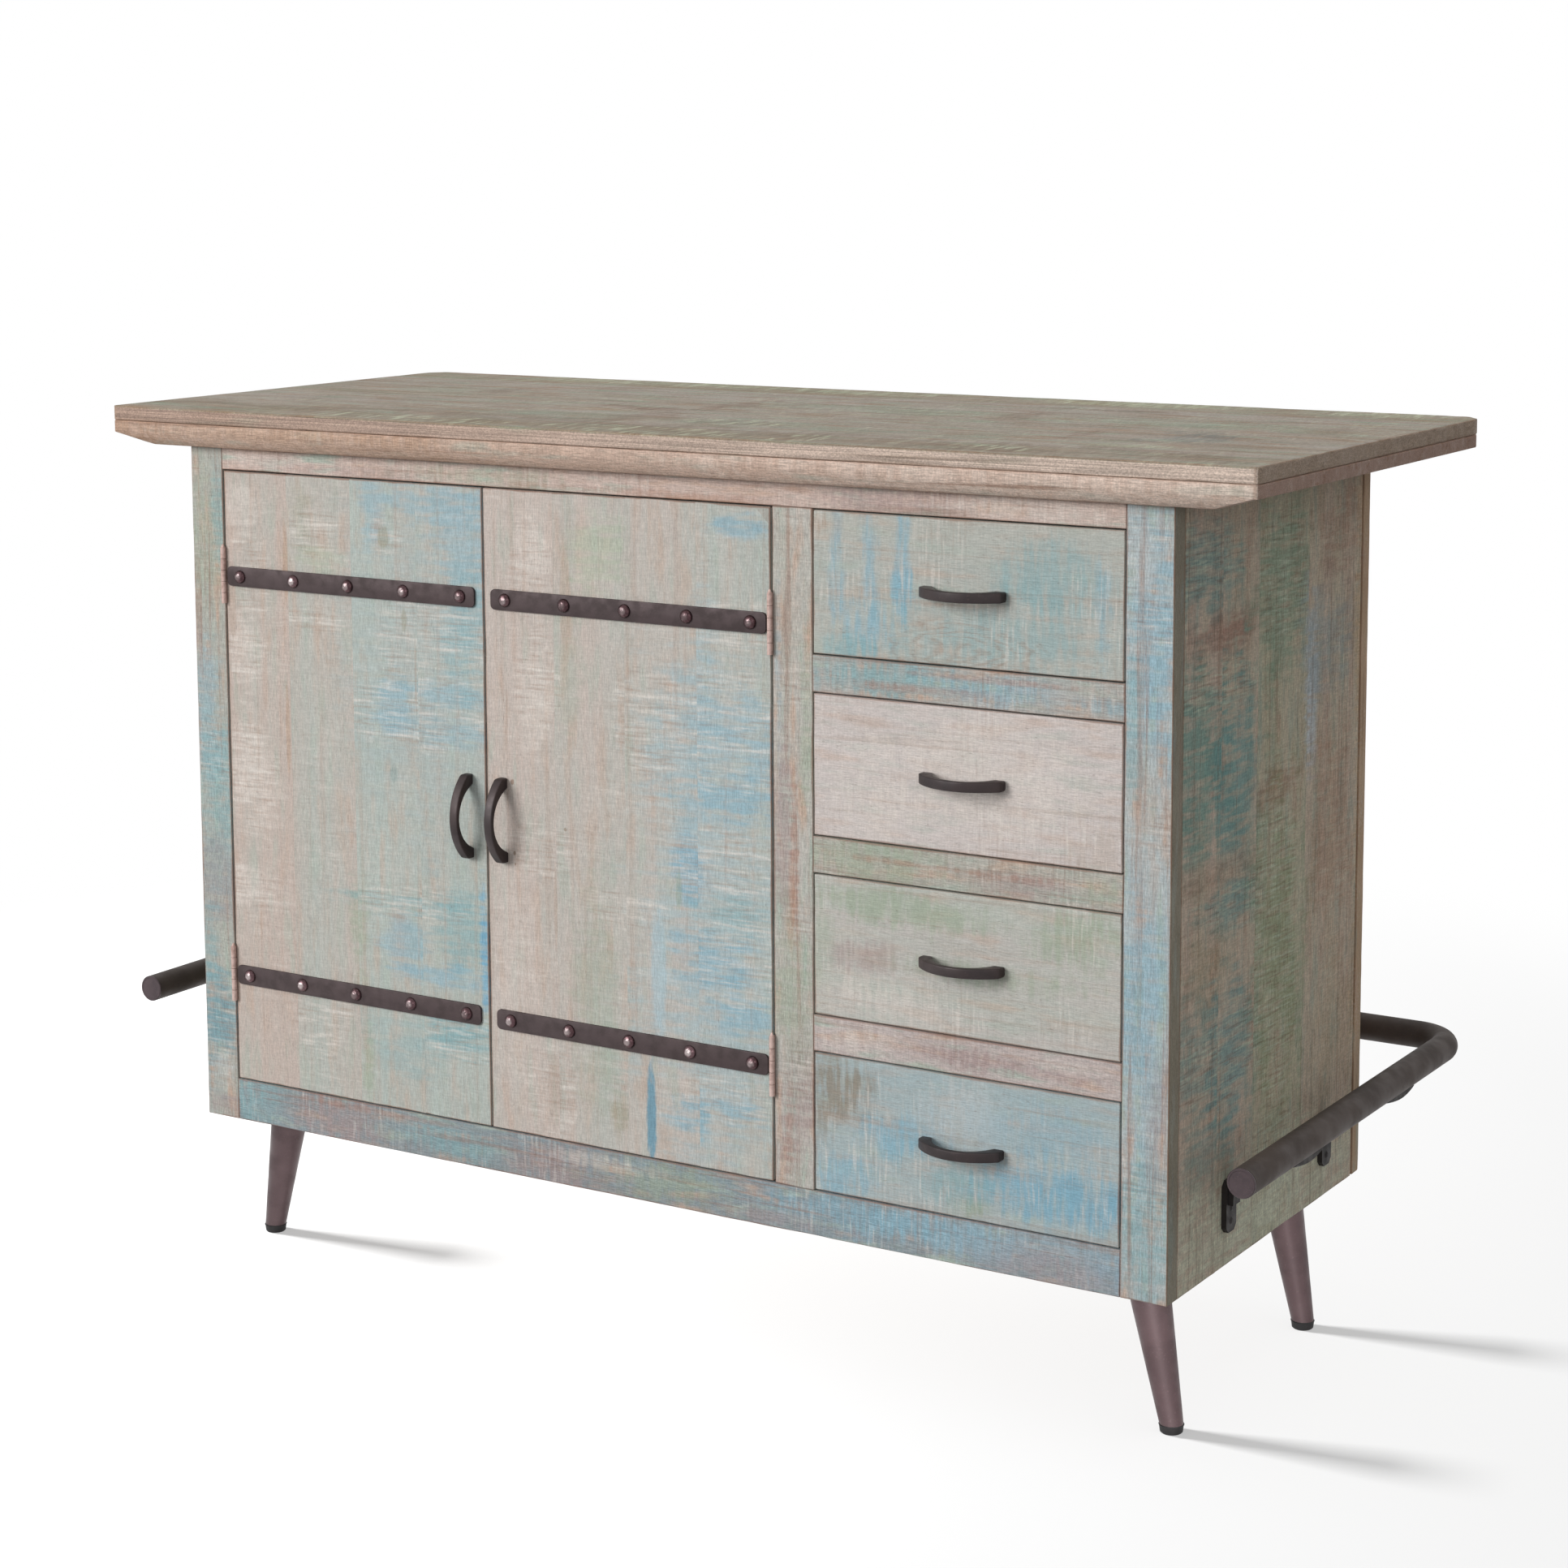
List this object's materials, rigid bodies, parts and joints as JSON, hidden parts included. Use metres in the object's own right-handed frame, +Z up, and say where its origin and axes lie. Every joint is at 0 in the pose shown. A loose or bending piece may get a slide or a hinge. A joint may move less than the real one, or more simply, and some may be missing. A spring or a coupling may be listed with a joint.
{
  "type": "kitchen island unit",
  "caption": "Freestanding bar-height kitchen island with a double-door cupboard beside a stack of drawers, overhanging worktop, splayed tapered legs and a wrap-round tubular foot rail.",
  "frame": {"origin": "on the floor, under the middle of the whole unit's bounding box", "axes": "+X along the fronts from the doors to the drawers, +Y from the fronts to the back, +Z up"},
  "size_m": [1.524, 0.662, 1.061],
  "materials": {
    "worktop_boards": "limed and waxed boards, sawn marks, satin",
    "worktop_edge": "open-grained board edge, matt",
    "frame_green_blue": "worn limed paint on sawn wood, matt",
    "frame_grey_green": "worn limed paint on sawn wood, matt",
    "frame_blue": "worn limed paint on sawn wood, matt",
    "frame_cream": "worn limed paint on sawn wood, matt",
    "frame_turquoise": "worn limed paint on sawn wood, matt",
    "side_boards": "worn limed paint on sawn wood, matt",
    "back_wood": "worn limed paint on sawn wood, matt",
    "inside_wood": "plain planed wood, matt",
    "door_left_boards": "worn limed paint on sawn wood, matt",
    "door_right_boards": "worn limed paint on sawn wood, matt",
    "drawer_blue_green": "worn limed paint on sawn wood, matt",
    "drawer_cream": "worn limed paint on sawn wood, matt",
    "drawer_soft_green": "worn limed paint on sawn wood, matt",
    "drawer_blue": "worn limed paint on sawn wood, matt",
    "dark_iron": "dark bronze lacquer, satin",
    "pull_iron": "dark bronze lacquer, satin",
    "leg_iron": "dark bronze lacquer, satin",
    "rivet_steel": "worn domed heads, bright on top",
    "hinge_metal": "thinly painted steel",
    "screw_steel": "plain steel",
    "catch_plastic": "moulded plastic",
    "pad_rubber": "matt rubber"
  },
  "bodies": {
    "cabinet": {"worktop_boards": "worktop_boards", "worktop_underlayer": "worktop_edge", "stile_left": "frame_green_blue", "stile_middle": "frame_grey_green", "stile_right": "frame_blue", "rail_top": "frame_cream", "rail_bottom": "frame_turquoise", "drawer_rail_1": "frame_turquoise", "drawer_rail_2": "frame_grey_green", "drawer_rail_3": "frame_cream", "side_panel_left": "side_boards", "side_panel_right": "side_boards", "back_stiles": "back_wood", "back_rails": "back_wood", "back_panel": "back_wood", "floor_panel": "inside_wood", "partition": "inside_wood", "cupboard_shelf": "inside_wood", "shelf_cleats": "inside_wood", "worktop_cleats": "inside_wood", "drawer_runners": "inside_wood", "leg_bearers": "inside_wood", "hinge_frame_leaves": "hinge_metal", "hinge_pins": "hinge_metal", "door_catch": "catch_plastic", "legs_front": "leg_iron", "legs_back": "leg_iron", "leg_plates": "dark_iron", "foot_pads": "pad_rubber", "foot_rail": "leg_iron", "rail_end_caps": "leg_iron", "rail_brackets": "dark_iron", "fixing_screws": "screw_steel"},
    "door_left": {"door_left": "door_left_boards", "door_battens_left": "inside_wood", "straps_left": "dark_iron", "rivets_left": "rivet_steel", "door_pull_left": "pull_iron", "hinge_door_leaves_left": "hinge_metal", "catch_strike_left": "screw_steel"},
    "door_right": {"door_right": "door_right_boards", "door_battens_right": "inside_wood", "straps_right": "dark_iron", "rivets_right": "rivet_steel", "door_pull_right": "pull_iron", "hinge_door_leaves_right": "hinge_metal", "catch_strike_right": "screw_steel"},
    "drawer_1": {"drawer_front_1": "drawer_blue_green", "drawer_box_1": "inside_wood", "drawer_pull_1": "pull_iron"},
    "drawer_2": {"drawer_front_2": "drawer_cream", "drawer_box_2": "inside_wood", "drawer_pull_2": "pull_iron"},
    "drawer_3": {"drawer_front_3": "drawer_soft_green", "drawer_box_3": "inside_wood", "drawer_pull_3": "pull_iron"},
    "drawer_4": {"drawer_front_4": "drawer_blue", "drawer_box_4": "inside_wood", "drawer_pull_4": "pull_iron"}
  },
  "joints": [
    {"name": "door_left_hinge", "type": "hinge", "parent": "cabinet", "child": "door_left", "pos_m": [-0.6093, -0.3014, 0.598], "axis": [0, 0, -1], "range_deg": [0, 160]},
    {"name": "door_right_hinge", "type": "hinge", "parent": "cabinet", "child": "door_right", "pos_m": [0.1773, -0.3014, 0.598], "axis": [0, 0, 1], "range_deg": [0, 90]},
    {"name": "drawer_1_slide", "type": "slide", "parent": "cabinet", "child": "drawer_1", "axis": [0, -1, 0], "range_m": [0, 0.35]},
    {"name": "drawer_2_slide", "type": "slide", "parent": "cabinet", "child": "drawer_2", "axis": [0, -1, 0], "range_m": [0, 0.35]},
    {"name": "drawer_3_slide", "type": "slide", "parent": "cabinet", "child": "drawer_3", "axis": [0, -1, 0], "range_m": [0, 0.35]},
    {"name": "drawer_4_slide", "type": "slide", "parent": "cabinet", "child": "drawer_4", "axis": [0, -1, 0], "range_m": [0, 0.35]}
  ]
}
